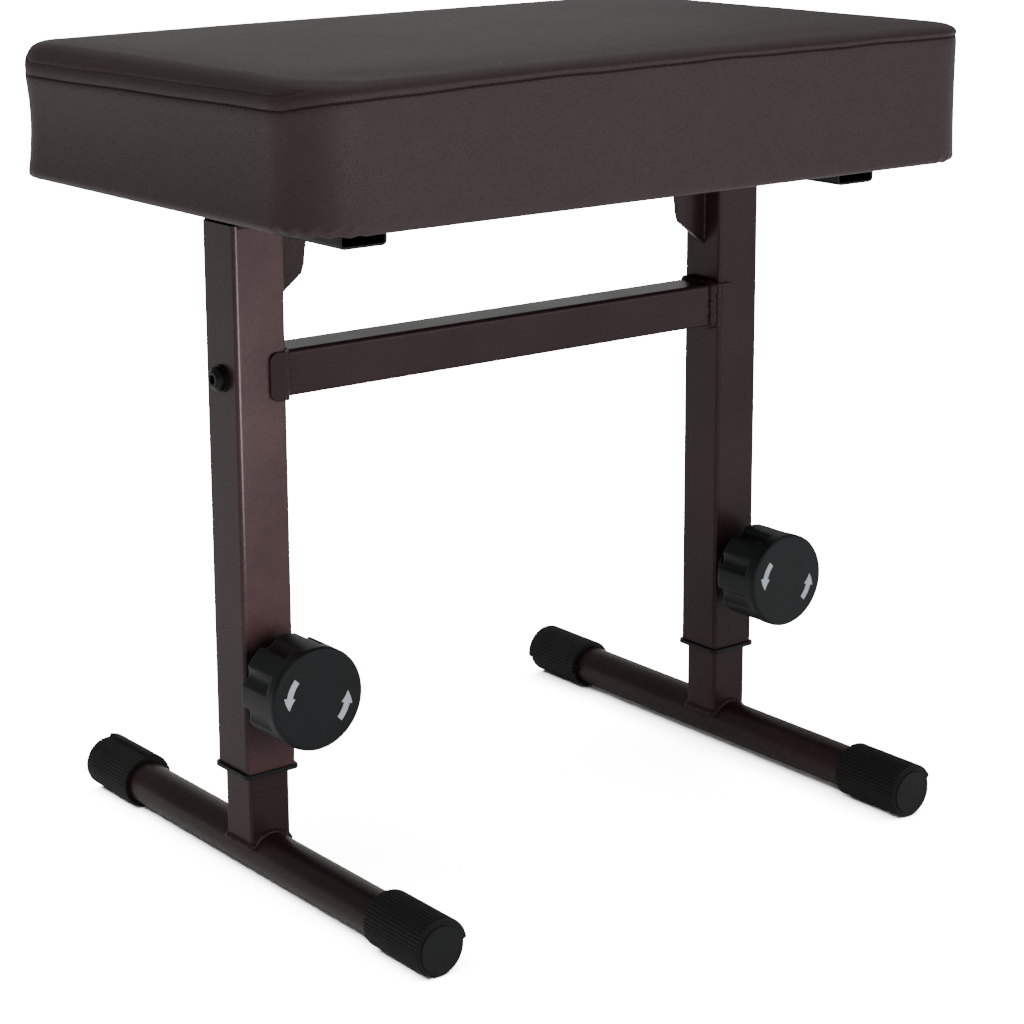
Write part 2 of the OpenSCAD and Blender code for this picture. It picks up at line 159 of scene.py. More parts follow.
def swept_bead(path, out, side, width, height, closed, around=10):
    """A half-buried bead along a path: an ellipse of the given half width and height at each point.

    The ellipse lies in the plane of the two unit vectors out and side, and its size ripples along the path as
    a row of overlapping puddles does: the square of a sine, with a slower swell on top.
    """
    steps = np.linalg.norm(np.diff(path, axis=0), axis=1)
    s = np.concatenate([[0], np.cumsum(steps)]) / MM
    puddles = 0.86 + 0.2 * np.sin(s * math.pi / 1.7) ** 2
    ripple = puddles + 0.07 * np.sin(s * 0.71 + 1.3) + 0.05 * np.sin(s * 1.9)
    if not closed:
        ripple = ripple * np.clip(np.minimum(s, s[-1] - s) / 1.5, 0.02, 1) ** 0.5
    a = np.linspace(0, 2 * math.pi, around, endpoint=False)
    ring = (np.cos(a)[None, :, None] * out[:, None, :] * height
            + np.sin(a)[None, :, None] * side[:, None, :] * width)
    return path[:, None, :] + ring * ripple[:, None, None]


# ---------------------------------------------------------------- shader maths

class Wire:
    """A shader socket that takes part in Python expressions; each operator adds a Math node."""

    def __init__(self, finish, socket):
        self.finish, self.socket = finish, socket

    def maths(self, operation, a, b):
        return self.finish.node("ShaderNodeMath", {"operation": operation}, {0: a, 1: b})

    def __add__(self, other):
        return self.maths("ADD", self, other)

    def __radd__(self, other):
        return self.maths("ADD", other, self)

    def __sub__(self, other):
        return self.maths("SUBTRACT", self, other)

    def __rsub__(self, other):
        return self.maths("SUBTRACT", other, self)

    def __mul__(self, other):
        return self.maths("MULTIPLY", self, other)

    def __rmul__(self, other):
        return self.maths("MULTIPLY", other, self)

    def limited(self):
        """The value held between 0 and 1."""
        return self.finish.node("ShaderNodeClamp", {}, {"Value": self})

    def ramped(self, low, high, new_low=0.0, new_high=1.0):
        """The value carried smoothly from the range low..high to new_low..new_high."""
        return self.finish.node("ShaderNodeMapRange", {"interpolation_type": "SMOOTHSTEP"},
                                {"Value": self, "From Min": low, "From Max": high,
                                 "To Min": new_low, "To Max": new_high})


class Finish:
    """A material made of one Principled shader and the nodes that vary it over the surface."""

    def __init__(self, name, **fixed):
        self.material = bpy.data.materials.new(name)
        self.material.use_nodes = True
        self.tree = self.material.node_tree
        self.shader = next(n for n in self.tree.nodes if n.type == "BSDF_PRINCIPLED")
        for socket, value in fixed.items():
            self.shader.inputs[socket.replace("_", " ")].default_value = value
        self.place = self.node("ShaderNodeTexCoord", {}, {}, "Object")

    def node(self, kind, settings, sockets, output=0):
        """Adds a node: its settings first, then a value or a wire for each socket; returns one output."""
        made = self.tree.nodes.new(kind)
        for key, value in settings.items():
            setattr(made, key, value)
        for key, value in sockets.items():
            if isinstance(value, Wire):
                self.tree.links.new(value.socket, made.inputs[key])
            else:
                made.inputs[key].default_value = value
        return Wire(self, made.outputs[output])

    def noise(self, scale, detail=3.0, roughness=0.5, place=None, distortion=0.0):
        """Soft cloudy noise, from 0 to 1."""
        sockets = {"Vector": place or self.place, "Scale": scale, "Detail": detail, "Roughness": roughness,
                   "Distortion": distortion}
        return self.node("ShaderNodeTexNoise", {}, sockets, "Fac")

    def cells(self, scale, feature="F1", output="Distance", place=None, randomness=1.0):
        """Cells round scattered points."""
        sockets = {"Vector": place or self.place, "Scale": scale, "Randomness": randomness}
        return self.node("ShaderNodeTexVoronoi", {"feature": feature}, sockets, output)

    def stretched(self, scale, turn=(0, 0, 0)):
        """The place on the object, scaled and turned, for a texture that runs one way."""
        return self.node("ShaderNodeMapping", {}, {"Vector": self.place, "Scale": scale, "Rotation": turn})

    def blend(self, amount, first, second):
        """Mix of two colours by an amount."""
        made = self.tree.nodes.new("ShaderNodeMix")
        made.data_type = "RGBA"
        for index, value in ((0, amount), (6, first), (7, second)):
            if isinstance(value, Wire):
                self.tree.links.new(value.socket, made.inputs[index])
            else:
                made.inputs[index].default_value = (*value, 1.0) if index and len(value) == 3 else value
        return Wire(self, made.outputs[2])

    def bump(self, height, distance, strength, normal=None):
        """Normal tilted by a height, on top of another normal if one is given."""
        sockets = {"Height": height, "Distance": distance, "Strength": strength}
        if normal:
            sockets["Normal"] = normal
        return self.node("ShaderNodeBump", {}, sockets)

    def soft_edges(self, radius):
        """Normal that turns smoothly round every sharp edge, within a radius."""
        return self.node("ShaderNodeBevel", {"samples": 6}, {"Radius": radius})

    def edge_mask(self, rounded, gain):
        """1 on the edges and 0 on the flats: how far the rounded normal leans from the true one."""
        true = self.node("ShaderNodeNewGeometry", {}, {}, "Normal")
        lean = self.node("ShaderNodeVectorMath", {"operation": "DOT_PRODUCT"}, {0: rounded, 1: true}, "Value")
        return ((1 - lean) * gain).limited()

    def feed(self, **wires):
        """Links wires to the shader's own sockets and returns the material."""
        for socket, wire in wires.items():
            self.tree.links.new(wire.socket, self.shader.inputs[socket.replace("_", " ")])
        return self.material


def leather(base):
    """Dark synthetic leather: pebbled grain, fine pores, level stretch lines, a drift of colour, and painted
    shade in the creases.
    """
    f = Finish("synthetic_leather", Specular_IOR_Level=0.32, Coat_Roughness=0.35, Coat_Weight=0.03)
    drift = f.noise(9, 4, 0.6)
    warped = f.noise(90, 2)
    pebbles = f.cells(820, "DISTANCE_TO_EDGE", place=f.stretched((1, 1, 0.82)))
    creases = pebbles.ramped(0.0, 0.16)
    pores = f.noise(2600, 2, 0.6)
    strained = f.noise(95, 3, 0.6, place=f.stretched((0.5, 0.5, 11)))
    height = creases * 0.55 + pores * 0.2 + warped * 0.25 + strained * 0.55
    dark, light = [c * 0.90 for c in base], [c * 1.10 for c in base]
    colour = f.blend((drift * 0.65 + warped * 0.35).ramped(0.3, 0.7), dark, light)
    # Painted shade: the crease lines between the pebbles are darkened towards 0.45 of the base colour.
    colour = f.blend((1 - creases) * 0.35, colour, [c * 0.45 for c in base])
    rough = 0.40 + drift * 0.10 + (1 - creases) * 0.12 + pores * 0.06
    return f.feed(Base_Color=colour, Roughness=rough, Normal=f.bump(height, 0.00016, 0.55))


def powder_coat(name, base, roughness, fleck, edge_wear=0.25):
    """Powder coat: orange-peel ripple, metallic flecks, a drift of gloss, and thinner paint on the edges."""
    f = Finish(name, Specular_IOR_Level=0.2, Coat_Weight=0.03, Coat_Roughness=0.22)
    peel = f.noise(520, 2, 0.45)
    drift = f.noise(14, 4, 0.6)
    flecks = f.cells(2300, "F1", "Color")
    sparkle = f.node("ShaderNodeSeparateColor", {}, {"Color": flecks}, "Red").ramped(0.72, 1.0)
    rounded = f.soft_edges(0.0007)
    edges = f.edge_mask(rounded, 2.2)
    dark, light = [c * 0.8 for c in base], [c * 1.18 for c in base]
    colour = f.blend(drift.ramped(0.3, 0.7), dark, light)
    colour = f.blend(sparkle * fleck, colour, [min(1, c * 3.2) for c in base])
    worn = edges * (0.3 + 0.7 * f.noise(60, 3)) * edge_wear
    colour = f.blend(worn, colour, [min(1, c * 2.6 + 0.01) for c in base])
    rough = roughness + (drift - 0.5) * 0.14 - sparkle * 0.05 + (peel - 0.5) * 0.05
    return f.feed(Base_Color=colour, Roughness=rough, Metallic=sparkle * fleck * 0.6 + 0.08,
                  Normal=f.bump(peel, 0.00022, 0.22, rounded))


def moulded_plastic(name, base, roughness, edge=0.0008):
    """Moulded plastic: spark-eroded grain, flow marks, and paler rubbed edges."""
    f = Finish(name, Specular_IOR_Level=0.24)
    grain = f.noise(1500, 3, 0.65)
    flow = f.noise(22, 3, 0.5, place=f.stretched((1, 1, 0.4)))
    rounded = f.soft_edges(edge)
    edges = f.edge_mask(rounded, 1.6)
    colour = f.blend(flow.ramped(0.3, 0.7), [c * 0.82 for c in base], [c * 1.2 for c in base])
    colour = f.blend(edges * 0.3, colour, [c * 2.2 + 0.004 for c in base])
    rough = roughness + (flow - 0.5) * 0.12 + (grain - 0.5) * 0.08 - edges * 0.06
    return f.feed(Base_Color=colour, Roughness=rough, Normal=f.bump(grain, 0.0001, 0.35, rounded))


def rubber(base):
    """Black rubber: fine matt grain, dust caught in patches, and scuffs near the floor."""
    f = Finish("black_rubber", Specular_IOR_Level=0.28)
    grain = f.noise(1900, 3, 0.7)
    dust = f.noise(38, 5, 0.65).ramped(0.42, 0.75)
    height = f.node("ShaderNodeSeparateXYZ", {}, {"Vector": f.place}, "Z")
    near_floor = height.ramped(0.0, 0.006, 1.0, 0.0)
    scuffs = near_floor * f.noise(260, 3, 0.6, place=f.stretched((1, 0.25, 1))).ramped(0.4, 0.7)
    rounded = f.soft_edges(0.0006)
    colour = f.blend(dust * 0.35, base, [c * 2.0 + 0.006 for c in base])
    colour = f.blend(scuffs * 0.5, colour, [0.06, 0.058, 0.055])
    rough = 0.56 + dust * 0.16 + (grain - 0.5) * 0.1
    return f.feed(Base_Color=colour, Roughness=rough, Normal=f.bump(grain, 0.00014, 0.35, rounded))


def zinc_steel(base):
    """Zinc-plated steel: spangled drift, fine turning lines and duller patches."""
    f = Finish("zinc_steel", Specular_IOR_Level=0.5)
    drift = f.noise(60, 4, 0.6)
    lines = f.noise(900, 2, 0.5, place=f.stretched((1, 5, 1)))
    colour = f.blend(drift.ramped(0.3, 0.7), [c * 0.8 for c in base], [min(1, c * 1.15) for c in base])
    return f.feed(Base_Color=colour, Metallic=0.9 + drift * 0.1, Roughness=0.28 + drift * 0.2 + lines * 0.06,
                  Normal=f.bump(lines, 0.00008, 0.3, f.soft_edges(0.0004)))


def dust_cloth(base):
    """Black non-woven cloth: tangled short fibres pressed into a dimpled sheet."""
    f = Finish("dust_cloth", Specular_IOR_Level=0.15, Sheen_Weight=0.15)
    fibres = f.noise(700, 4, 0.75, place=f.stretched((1, 3.5, 1)), distortion=1.5)
    crossed = f.noise(700, 4, 0.75, place=f.stretched((3.5, 1, 1)), distortion=1.5)
    dimples = f.cells(420, "F1", randomness=0.15).ramped(0.1, 0.5)
    tangle = fibres * 0.5 + crossed * 0.5
    colour = f.blend(tangle.ramped(0.4, 0.65), [c * 0.6 for c in base], [c * 2.0 for c in base])
    return f.feed(Base_Color=colour, Roughness=0.85 + tangle * 0.12,
                  Normal=f.bump(tangle * 0.6 + dimples * 0.4, 0.0003, 0.6))


def raw_plywood(base):
    """Plywood: long streaked grain along X."""
    f = Finish("raw_plywood", Specular_IOR_Level=0.3)
    streaks = f.noise(120, 5, 0.65, place=f.stretched((0.08, 1, 1)), distortion=0.6)
    colour = f.blend(streaks.ramped(0.35, 0.65), [c * 0.65 for c in base], [min(1, c * 1.25) for c in base])
    return f.feed(Base_Color=colour, Roughness=0.62 + streaks * 0.2, Normal=f.bump(streaks, 0.0003, 0.4))


def waxed_thread(base):
    """Waxed thread: twisted plies seen as slanted bands."""
    f = Finish("waxed_thread", Specular_IOR_Level=0.4)
    plies = f.noise(2400, 2, 0.5, place=f.stretched((1, 1, 2.2), turn=(0.6, 0.4, 0)))
    colour = f.blend(plies.ramped(0.35, 0.65), [c * 0.6 for c in base], [c * 1.8 for c in base])
    return f.feed(Base_Color=colour, Roughness=0.5 + plies * 0.25, Normal=f.bump(plies, 0.0001, 0.6))


def marking_ink(base):
    """Pad-printed ink: thin, slightly patchy, satin."""
    f = Finish("marking_ink", Specular_IOR_Level=0.4)
    patchy = f.noise(900, 4, 0.7)
    colour = f.blend(patchy.ramped(0.35, 0.75), [c * 0.82 for c in base], base)
    return f.feed(Base_Color=colour, Roughness=0.5 + patchy * 0.2, Normal=f.bump(patchy, 0.00004, 0.3))


FLOOR_CARD = 0.03  # how pale the floor is to everything but the camera


def pale_floor(base):
    """Pale studio floor with a faint slow drift; it is a darker card to everything that it lights."""
    f = Finish("studio_floor", Specular_IOR_Level=0.1, Roughness=0.8)
    drift = f.noise(1.2, 3, 0.5)
    f.feed(Base_Color=f.blend(drift, [c * 0.985 for c in base], base))
    card = f.node("ShaderNodeBsdfDiffuse", {}, {"Color": (FLOOR_CARD, FLOOR_CARD, FLOOR_CARD, 1)})
    seen = f.node("ShaderNodeLightPath", {}, {}, "Is Camera Ray")
    mixed = f.node("ShaderNodeMixShader", {}, {0: seen, 1: card, 2: Wire(f, f.shader.outputs[0])})
    surface = next(n for n in f.tree.nodes if n.type == "OUTPUT_MATERIAL")
    f.tree.links.new(mixed.socket, surface.inputs["Surface"])
    return f.material


def paint_nodes(material, *nodes):
    """Gives frame nodes a finish by their material slots."""
    for node in nodes:
        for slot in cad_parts[node].material_slots:
            slot.material = material


FINISHES = {
    "leather": lambda colour: leather(colour("leather")),
    "brown_paint": lambda colour: powder_coat("brown_powder_coat", colour("brown_paint"), 0.31, 0.35),
    "black_paint": lambda colour: powder_coat("black_powder_coat", colour("black_paint"), 0.34, 0.05),
    "black_steel": lambda colour: powder_coat("black_oxide", colour("black_paint"), 0.4, 0.08, 0.6),
    "cap_rubber": lambda colour: rubber(colour("cap_rubber")),
    "knob_plastic": lambda colour: moulded_plastic("knob_plastic", colour("knob_plastic"), 0.42, 0.0026),
    "glide_plastic": lambda colour: moulded_plastic("glide_plastic", colour("cap_rubber"), 0.45),
    "zinc_steel": lambda colour: zinc_steel(colour("zinc_steel")),
    "dust_cloth": lambda colour: dust_cloth(colour("dust_cloth")),
    "plywood": lambda colour: raw_plywood(colour("plywood")),
    "thread": lambda colour: waxed_thread(colour("thread")),
    "ink": lambda colour: marking_ink(colour("knob_ink")),
    "floor": lambda colour: pale_floor(colour("floor")),
}
_made = {}


def finish(name):
    """One of the bench's finishes, made once from the sidebar's colours."""
    if name not in _made:
        colours = bpy.context.scene.bench_finishes
        _made[name] = FINISHES[name](lambda key: list(getattr(colours, key)))
    return _made[name]


# ---------------------------------------------------------------- settings

def colour_property(name, description, default):
    """A colour in the sidebar."""
    return FloatVectorProperty(name=name, description=description, subtype="COLOR", size=3, min=0, max=1,
                               default=default)


def length_property(name, description, default):
    """A length in the sidebar."""
    return FloatProperty(name=name, description=description, default=default, unit="LENGTH")


def angle_property(name, description, degrees):
    """An angle in the sidebar, given here in degrees."""
    return FloatProperty(name=name, description=description, subtype="ANGLE", default=math.radians(degrees))


class BenchFinishSettings(bpy.types.PropertyGroup):
    leather: colour_property("Leather", "Colour of the seat's leather", (0.043, 0.0245, 0.0245))
    brown_paint: colour_property("Brown paint", "Colour of the legs and crossbar", (0.0285, 0.0140, 0.0143))
    black_paint: colour_property("Black paint", "Colour of the channels and bolts", (0.0068, 0.0068, 0.0068))
    cap_rubber: colour_property("Cap rubber", "Colour of the foot caps", (0.0060, 0.0062, 0.0060))
    knob_plastic: colour_property("Knob plastic", "Colour of the knobs", (0.0078, 0.0086, 0.0094))
    knob_ink: colour_property("Knob marks", "Colour of the arrows on the knobs", (0.62, 0.70, 0.78))
    zinc_steel: colour_property("Plated steel", "Colour of pins, springs and nuts", (0.56, 0.57, 0.58))
    dust_cloth: colour_property("Dust cloth", "Colour of the cloth under the seat", (0.012, 0.012, 0.012))
    plywood: colour_property("Plywood", "Colour of the seat board", (0.50, 0.33, 0.18))
    thread: colour_property("Thread", "Colour of the seat's thread", (0.012, 0.009, 0.009))
    floor: colour_property("Floor", "Colour of the studio floor", (0.90, 0.90, 0.90))


class BenchCushionSettings(bpy.types.PropertyGroup):
    corner: length_property("Corner", "Corner radius in plan", 38 * MM)
    seam: length_property("Seam height", "Seam above the underside, at the right end", 73.8 * MM)
    drift: length_property("Seam drift", "How far the seam sinks along the sides, towards the left", 8.6 * MM)
    end_dip: length_property("Seam dip", "How far the seam drops at once round the left corners", 6.0 * MM)
    second_row: length_property("Second stitch row", "Height of the second row above the seam", 7.6 * MM)
    edge_top: length_property("Edge of the top", "Top of the roll above the underside", 77.8 * MM)
    crown: length_property("Crown", "Rise of the middle of the top", 1.6 * MM)
    waist: length_property("Waist", "How far the side band pulls in", 2.2 * MM)
    lower_edge: length_property("Lower edge", "Radius of the lower edge", 4 * MM)
    sag: length_property("Sag", "How far the lower edge hangs below the underside", 1.6 * MM)
    roll: length_property("Roll", "Width of the soft roll above the seam", 13 * MM)
    swell: length_property("Swell", "Most that the filling pushes a point out", 2.0 * MM)
    plump: length_property("Plump", "How far the leather stands outside the frame's cover", 1.6 * MM)
    columns: IntProperty(name="Columns", description="Points round the cushion", default=640)


class BenchStitchSettings(bpy.types.PropertyGroup):
    pitch: length_property("Pitch", "Distance between stitches", 4.2 * MM)
    length: length_property("Length", "Length of a stitch", 3.3 * MM)
    thread: length_property("Thread", "Diameter of the thread", 0.5 * MM)


class BenchWeldSettings(bpy.types.PropertyGroup):
    width: length_property("Width", "Half width of a weld bead", 2.1 * MM)
    height: length_property("Height", "Height of a weld bead", 1.5 * MM)


class BenchMarkSettings(bpy.types.PropertyGroup):
    radius: length_property("Radius", "Radius of the curved arrows", 19.6 * MM)
    band: length_property("Band", "Width of an arrow's band", 3.9 * MM)
    head: length_property("Head", "Width of an arrow's head", 7.6 * MM)
    proud: length_property("Proud", "Height of the print above the face", 0.12 * MM)


class BenchStudioSettings(bpy.types.PropertyGroup):
    camera: FloatVectorProperty(name="Camera", description="Place of the camera", size=3, subtype="XYZ",
                                unit="LENGTH", default=(-0.93663, -1.21542, 0.61545))
    heading: angle_property("Heading", "From +Y towards +X", 37.887)
    tilt: angle_property("Tilt", "Below the horizon", 12.870)
    roll: angle_property("Roll", "Turn about the line of sight", -0.239)
    lens: FloatProperty(name="Lens", description="Focal length on a 36 mm sensor, in mm", default=91.22)
    shift: FloatProperty(name="Shift", description="Vertical shift of the frame", default=-0.120)
    floor_size: length_property("Floor", "Size of the floor", 40.0)


# ---------------------------------------------------------------- cushion

SEAM_STRIP = 1.5 * MM                   # half height of the strip of grid rows at the seam
ROLL_POWER = 0.82                       # 1 gives a round roll, less a squarer one
SECOND_ROW_END = COVER_LOW[0] + 6 * MM  # the second row stops at this X
TOP_TILT = 1.8 * MM                     # how much higher the top is at its right end than in the middle
TUCK = 12 * MM                          # how far in from its edge the underside starts to sag
PROFILE_ROWS = {"floor": 10, "under": 8, "edge": 12, "band": 26, "seam": 26, "roll": 26, "top": 26}
SIDE_PARTS = ("band", "seam", "roll")

COPY_COLUMNS = 160                      # points round the copy that is blown up
COPY_SHRINK = 0.8 * MM                  # how much smaller that copy is
COPY_VOXEL = 5.5 * MM
FILLING_PRESSURE = 4.0
FILLING_FRAMES = 20
EVENING_PASSES = 6                      # times that a point's step is averaged with its neighbours'


def seam_height(x, y, settings):
    """Height of the seam above the underside.

    It sinks along the sides towards the left as a slow exponential, drops round the left corners as a quick
    one, and wobbles a little as two sines.
    """
    wobble = 0.22 * MM * np.sin(x / (21 * MM)) + 0.16 * MM * np.sin(x / (9.3 * MM) + 1 + y / (17 * MM))
    along = x - COVER_LOW[0]
    slow = settings.drift * np.exp(-along / (180 * MM))
    quick = (settings.end_dip + 0.012 * y) * np.exp(-np.maximum(along, 0) / (9 * MM))
    return settings.seam + wobble - slow - quick


def profile_steps(part, coarse=False, **ends):
    """Even steps from 0 to 1 along one part of the profile; a coarse profile has half as many."""
    count = PROFILE_ROWS[part]
    return np.linspace(0, 1, max(3, count // 2) if coarse else count, **ends)


def cushion_surface(settings, columns, shrink=0.0, coarse=False):
    """The cushion as a closed grid: rings of a round-cornered rectangle, set in and raised along one profile.

    From below: a flat underside, an edge that sags as a squared sine, a quarter circle at the lower edge, a
    side band that pulls in as a parabola, a narrow strip at the seam, a quarter of a superellipse for the roll,
    and a top that tilts up slightly to the right under a crown, a product of fourth powers of X and Y. Returns
    points, and for each row the name of its part and its place in it.
    """
    half = (COVER_HIGH - COVER_LOW)[:2] / 2 + settings.plump - shrink
    centre = (COVER_HIGH + COVER_LOW)[:2] / 2
    outline, normal = rounded_outline(half[0], half[1], settings.corner + settings.plump - shrink, columns)
    low = COVER_LOW[2] + 0.1 * MM + shrink
    seam = low + seam_height(outline[:, 0], outline[:, 1], settings) - shrink
    roll_top = COVER_LOW[2] + settings.edge_top - shrink
    waist = settings.waist * (0.6 - 0.4 * outline[:, 0] / half[0])
    edge, edge_low = settings.lower_edge, low - settings.sag
    band_low = edge_low + edge
    rings, parts, lifts = [], [], []

    def ring(inset, z, part, t, scale=1.0, lift=0.0):
        inset = np.broadcast_to(inset, columns)[:, None]
        plan = (outline - normal * inset) * scale
        rings.append(np.concatenate([plan + centre, np.broadcast_to(z, columns)[:, None]], axis=1))
        parts.append((part, t))
        lifts.append(lift)

    for t in profile_steps("floor", coarse, endpoint=False):
        ring(TUCK, low, "floor", t, t)
    for t in profile_steps("under", coarse, endpoint=False):
        ring(TUCK + (edge - TUCK) * t, low - settings.sag * math.sin(t * math.pi / 2) ** 2, "under", t)
    for t in profile_steps("edge", coarse, endpoint=False):
        a = t * math.pi / 2
        ring(edge * (1 - math.sin(a)), edge_low + edge * (1 - math.cos(a)), "edge", t)
    for t in profile_steps("band", coarse, endpoint=False):
        ring(waist * 4 * t * (1 - t), band_low + (seam - SEAM_STRIP - band_low) * t, "band", t)
    for t in profile_steps("seam", coarse, endpoint=False):
        ring(0, seam + SEAM_STRIP * (2 * t - 1), "seam", t)
    rise = roll_top - seam - SEAM_STRIP
    for t in profile_steps("roll", coarse, endpoint=False):
        a = t * math.pi / 2
        up, out = math.sin(a) ** ROLL_POWER, math.cos(a) ** ROLL_POWER
        ring(settings.roll * (1 - out), seam + SEAM_STRIP + rise * up, "roll", t, lift=up)
    for t in profile_steps("top", coarse):
        ring(settings.roll, roll_top, "top", t, 1 - t, lift=1.0)
    points = np.array(rings)
    x, y = (points[..., 0] - centre[0]) / half[0], (points[..., 1] - centre[1]) / half[1]
    crown = settings.crown * (1 - np.abs(x) ** 4) * (1 - np.abs(y) ** 4)
    points[..., 2] += np.array(lifts)[:, None] * (crown + TOP_TILT * x)
    return points, parts


def run_on(piece, operator, modifier):
    """Runs an object operator on one modifier of a piece."""
    view = bpy.context.view_layer
    view.objects.active = piece
    view.update()
    with bpy.context.temp_override(object=piece, active_object=piece, selected_objects=[piece]):
        operator(modifier=modifier.name)


def even_copy(settings):
    """A slightly smaller copy of the cushion, remeshed with voxels so that its points are evenly spread."""
    points, parts = cushion_surface(settings, COPY_COLUMNS, shrink=COPY_SHRINK, coarse=True)
    rows, columns = points.shape[:2]
    copy = new_object("swell_copy", points, grid_faces(rows, columns, wrap_columns=True))
    merge_doubles(copy)
    remesh = copy.modifiers.new("even", "REMESH")
    remesh.mode, remesh.voxel_size = "VOXEL", COPY_VOXEL
    run_on(copy, bpy.ops.object.modifier_apply, remesh)
    return copy


def hold_points(copy, rest, settings):
    """Pins the copy's points at the seam and the underside, and those of the side band less firmly."""
    seam = COVER_LOW[2] + seam_height(rest[:, 0], rest[:, 1], settings)
    at_seam = np.clip(1 - (np.abs(rest[:, 2] - seam) - 3 * MM) / (5 * MM), 0, 1)
    at_seam *= np.max(np.abs(rest[:, :2]) - (COVER_HIGH[:2] - 14 * MM), axis=1) > 0
    at_base = np.clip(1 - (rest[:, 2] - COVER_LOW[2] - 5 * MM) / (12 * MM), 0, 1)
    on_band = np.clip((seam - rest[:, 2]) / (3 * MM), 0, 1) * 0.8
    weight = np.round(np.maximum.reduce([at_seam * 0.95, at_base, on_band]), 1)
    held = copy.vertex_groups.new(name="held")
    for level in np.unique(weight[weight > 0]):
        held.add(np.flatnonzero(weight == level).tolist(), float(level), "REPLACE")


def blown_points(copy):
    """Places of the copy's points after twenty frames of cloth under pressure."""
    scene = bpy.context.scene
    cloth = copy.modifiers.new("filling", "CLOTH")
    cloth.settings.use_pressure = True
    cloth.settings.uniform_pressure_force = FILLING_PRESSURE
    cloth.settings.vertex_group_mass = "held"
    cloth.settings.effector_weights.gravity = 0
    cloth.settings.quality = 6
    for number in range(1, FILLING_FRAMES + 1):
        scene.frame_set(number)
    moved = read_points(copy.evaluated_get(bpy.context.evaluated_depsgraph_get()).data)
    copy.modifiers.remove(cloth)
    scene.frame_set(1)
    return moved


def evened_steps(mesh, step, cap):
    """Steps held under a cap by a hyperbolic tangent, then averaged with their neighbours'."""
    size = np.linalg.norm(step, axis=1, keepdims=True)
    step = step * (cap * np.tanh(size / cap) / np.maximum(size, 1e-9))
    edges = np.empty(len(mesh.edges) * 2, int)
    mesh.edges.foreach_get("vertices", edges)
    a, b = edges.reshape(-1, 2).T
    near = np.bincount(np.concatenate([a, b]), minlength=len(step))[:, None]
    for _ in range(EVENING_PASSES):
        total = np.zeros_like(step)
        np.add.at(total, a, step[b])
        np.add.at(total, b, step[a])
        step = 0.5 * step + 0.5 * total / near
    return step


def swell_by_simulation(cushion, settings):
    """Blows the cushion up with a cloth simulation on an even copy of it, which the cushion follows.

    The copy is held along the seam, the side band and the underside, and no point moves further than the
    swell. The cushion is tied to the copy by a Surface Deform modifier.
    """
    copy = even_copy(settings)
    rest = read_points(copy.data)
    hold_points(copy, rest, settings)
    tie = cushion.modifiers.new("tie", "SURFACE_DEFORM")
    tie.target = copy
    run_on(cushion, bpy.ops.object.surfacedeform_bind, tie)
    if not tie.is_bound:
        raise RuntimeError("the cushion could not be tied to its copy")
    step = evened_steps(copy.data, blown_points(copy) - rest, settings.swell)
    copy.data.vertices.foreach_set("co", (rest + step).ravel())
    copy.data.update()
    run_on(cushion, bpy.ops.object.modifier_apply, tie)
    bpy.data.objects.remove(copy)


def groove(distance, narrow, wide):
    """Depth of a groove: two bell curves of the distance from it, each a depth and a width."""
    return sum(depth * np.exp(-(distance / width) ** 2) for depth, width in (narrow, wide))


def seam_relief(points, parts, settings):
    """Depth of each grid point along its normal, once the cushion is swollen.

    The seam is a narrow groove inside a wider hollow, the second row a shallower one that fades with X, and
    the lower corners gather in small radial pleats.
    """
    x, y, z = points[..., 0], points[..., 1], points[..., 2]
    part = np.array([p for p, t in parts])
    t = np.array([t for p, t in parts])
    side = np.isin(part, SIDE_PARTS)[:, None].astype(float)
    seam = COVER_LOW[2] + seam_height(x, y, settings)
    in_strip = (SEAM_STRIP * (2 * t - 1))[:, None]
    from_seam = np.where((part == "seam")[:, None], in_strip, np.maximum(np.abs(z - seam), SEAM_STRIP))
    depth = -side * groove(from_seam, (0.85 * MM, 0.5 * MM), (0.35 * MM, 2.4 * MM))
    fade = np.clip((SECOND_ROW_END + 6 * MM - x) / (10 * MM), 0, 1)
    from_row = z - seam - settings.second_row
    depth -= side * fade * groove(from_row, (0.6 * MM, 0.6 * MM), (0.2 * MM, 2.0 * MM))
    corner_x = np.abs(x) - (COVER_HIGH[0] - settings.corner)
    corner_y = np.abs(y) - (COVER_HIGH[1] - settings.corner)
    in_corner = np.clip(np.minimum(corner_x, corner_y) / (8 * MM), 0, 1)
    turn = np.arctan2(corner_y, corner_x)
    low = np.clip(1 - (z - COVER_LOW[2]) / (9 * MM), 0, 1) * np.isin(part, ("under", "edge"))[:, None]
    depth += in_corner * low * 0.55 * MM * np.sin(turn * 22)
    return depth


